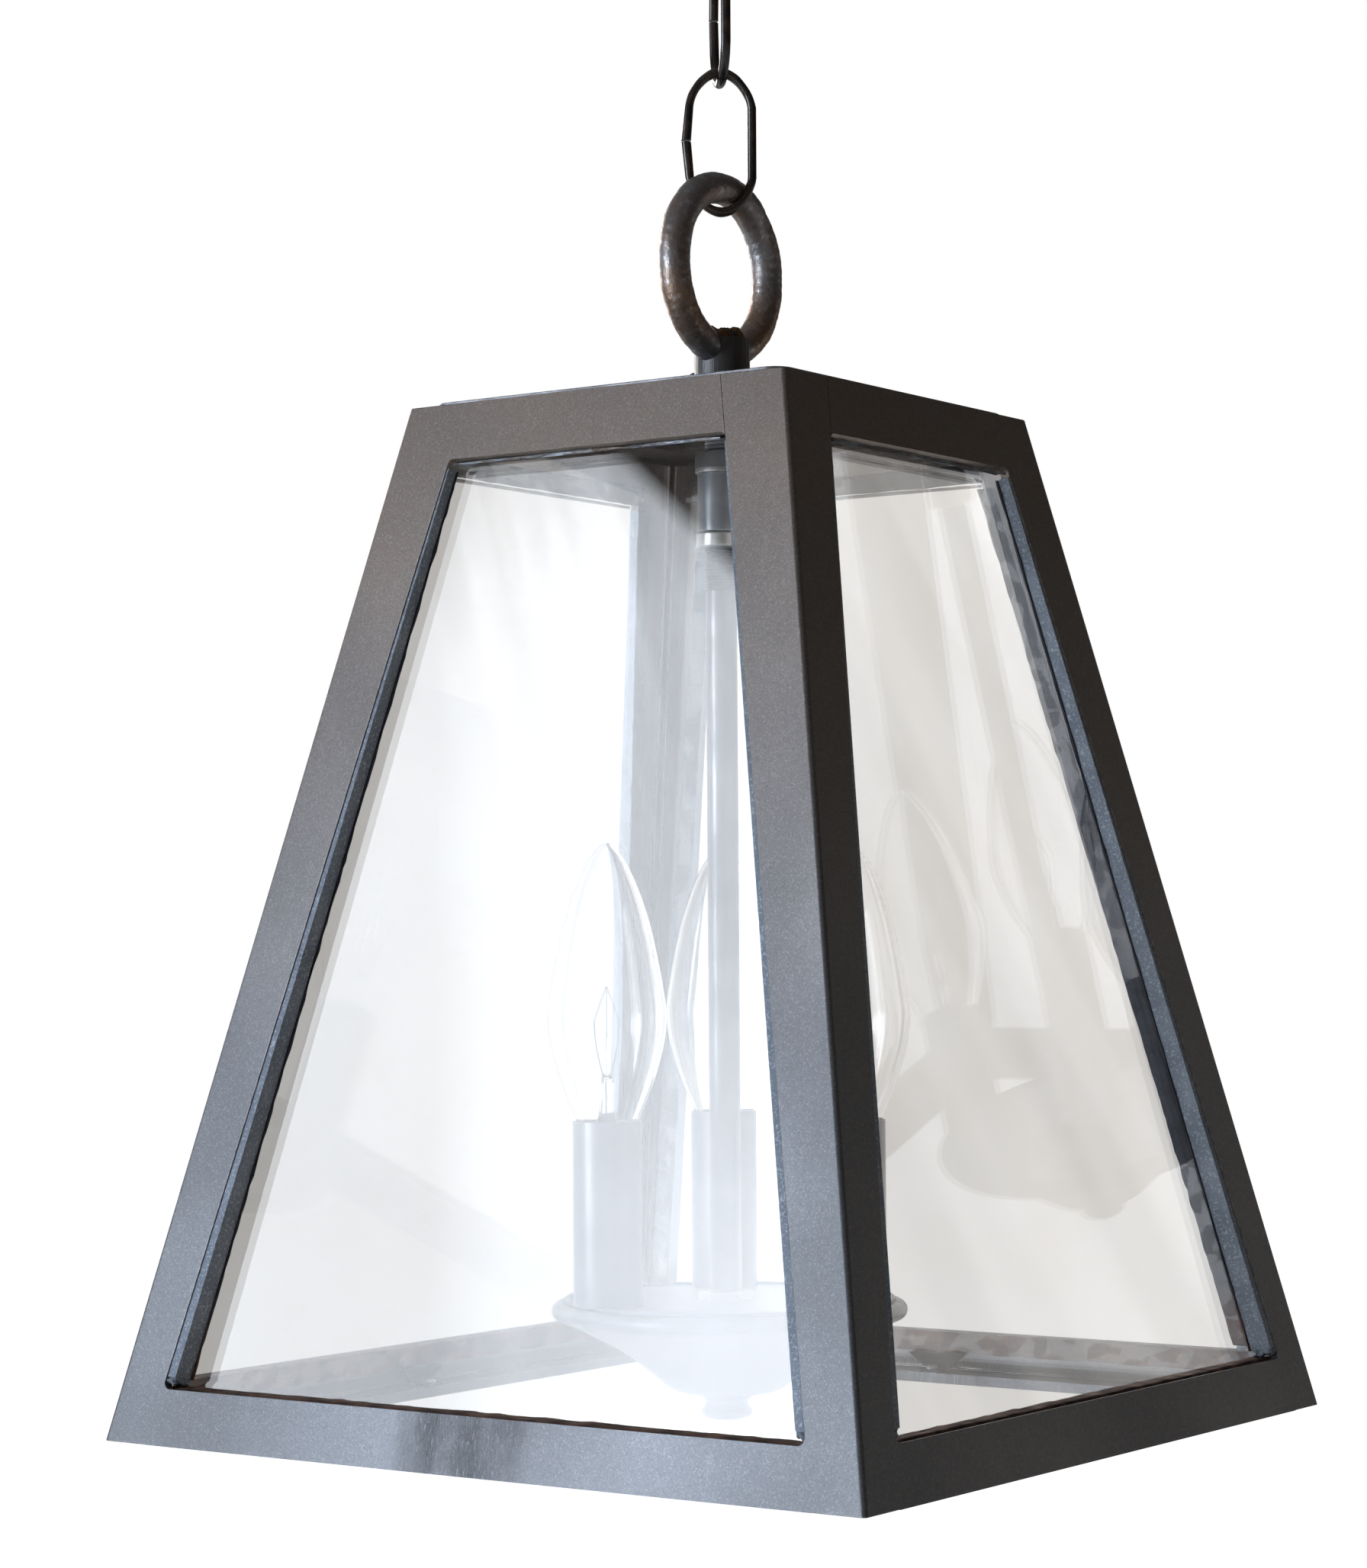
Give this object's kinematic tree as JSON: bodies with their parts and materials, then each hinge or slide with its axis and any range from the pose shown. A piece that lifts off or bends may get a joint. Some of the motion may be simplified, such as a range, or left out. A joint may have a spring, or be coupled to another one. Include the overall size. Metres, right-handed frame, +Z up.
{
  "type": "hanging lantern",
  "caption": "Tapered square steel lantern with clear glass panes, an open foot, a candle cluster with flame bulbs on a stem, and a welded ring hung from chain links.",
  "frame": {"origin": "the hanging point: the inner top of the upper chain link, on the stem's axis", "axes": "+Z up along the stem, -Y out of the front pane, +X out of the right pane"},
  "size_m": [0.263, 0.263, 0.4513],
  "materials": {
    "frame_paint": "satin metallic pewter-bronze paint with fine sparkle and grinding marks",
    "stop_paint": "rough sandy paint over coarse steel",
    "clear_glass": "clear float glass, polished",
    "bedding": "dull brown bedding compound",
    "clip_paint": "dull dark paint on thin sheet",
    "screw_steel": "plain zinc-plated",
    "cap_steel": "dark mill finish with a bright cut edge",
    "boss_paint": "satin, lightly worn",
    "ring_iron": "black-brown forge scale with ripple marks",
    "weld_metal": "rusty brown weld",
    "bush_plastic": "matt black",
    "chain_black": "gloss black lacquer",
    "stem_paint": "satin dark paint",
    "zinc_steel": "bright zinc",
    "bright_washer": "bright, lightly matt",
    "cluster_paint": "satin dark grey paint",
    "candle_paint": "satin dark grey paint with vertical sheen",
    "phenolic": "moulded, dull",
    "socket_brass": "pressed, bright",
    "lead_sheath": "dull black sheath",
    "splice_plastic": "moulded, ribbed",
    "bulb_clear": "clear blown glass",
    "bulb_brass": "rolled thread",
    "tungsten": "fine drawn wire"
  },
  "bodies": {
    "upper_link": {"chain_link_upper": "chain_black"},
    "lower_link": {"chain_link_lower": "chain_black"},
    "lantern": {"corner_post_front_right": "frame_paint", "corner_post_back_right": "frame_paint", "corner_post_back_left": "frame_paint", "corner_post_front_left": "frame_paint", "base_rail_front": "frame_paint", "top_rail_front": "frame_paint", "glass_pane_front": "clear_glass", "glass_stops_front": "stop_paint", "base_rail_right": "frame_paint", "top_rail_right": "frame_paint", "glass_pane_right": "clear_glass", "glass_stops_right": "stop_paint", "base_rail_back": "frame_paint", "top_rail_back": "frame_paint", "glass_pane_back": "clear_glass", "glass_stops_back": "stop_paint", "base_rail_left": "frame_paint", "top_rail_left": "frame_paint", "glass_pane_left": "clear_glass", "glass_stops_left": "stop_paint", "glazing_seals": "bedding", "glass_clips": "clip_paint", "clip_screws": "screw_steel", "cap_plate": "cap_steel", "ring_boss": "boss_paint", "hanging_ring": "ring_iron", "weld_bead": "weld_metal", "wire_bushing": "bush_plastic", "top_nipple": "stem_paint", "stem_nuts": "zinc_steel", "stem_washer": "bright_washer", "coupling_tube": "stem_paint", "coupling_collar": "zinc_steel", "centre_pipe": "stem_paint", "cluster_pan": "cluster_paint", "cluster_cover": "cluster_paint", "pan_nuts": "zinc_steel", "finial": "cluster_paint", "candle_posts": "zinc_steel", "post_nuts": "zinc_steel", "socket_bodies": "phenolic", "socket_shells": "socket_brass", "socket_contacts": "socket_brass", "socket_leads": "lead_sheath", "splice_caps": "splice_plastic", "candle_sleeve_1": "candle_paint", "candle_sleeve_2": "candle_paint", "candle_sleeve_3": "candle_paint"},
    "bulb_1": {"bulb_glass_1": "bulb_clear", "bulb_cap_1": "bulb_brass", "bulb_filament_1": "tungsten"},
    "bulb_2": {"bulb_glass_2": "bulb_clear", "bulb_cap_2": "bulb_brass", "bulb_filament_2": "tungsten"},
    "bulb_3": {"bulb_glass_3": "bulb_clear", "bulb_cap_3": "bulb_brass", "bulb_filament_3": "tungsten"}
  },
  "joints": [
    {"name": "chain_swing", "type": "hinge", "parent": "upper_link", "child": "lower_link", "pos_m": [0, 0, -0.04145], "axis": [0.7071, -0.7071, 0], "range_deg": [-30, 30]},
    {"name": "ring_swing", "type": "hinge", "parent": "lower_link", "child": "lantern", "pos_m": [0, 0, -0.09895], "axis": [1, 0, 0], "range_deg": [-25, 25]},
    {"name": "bulb_1_lift", "type": "slide", "parent": "lantern", "child": "bulb_1", "axis": [0, 0, 1], "range_m": [0, 0.022]},
    {"name": "bulb_2_lift", "type": "slide", "parent": "lantern", "child": "bulb_2", "axis": [0, 0, 1], "range_m": [0, 0.022]},
    {"name": "bulb_3_lift", "type": "slide", "parent": "lantern", "child": "bulb_3", "axis": [0, 0, 1], "range_m": [0, 0.022]}
  ]
}
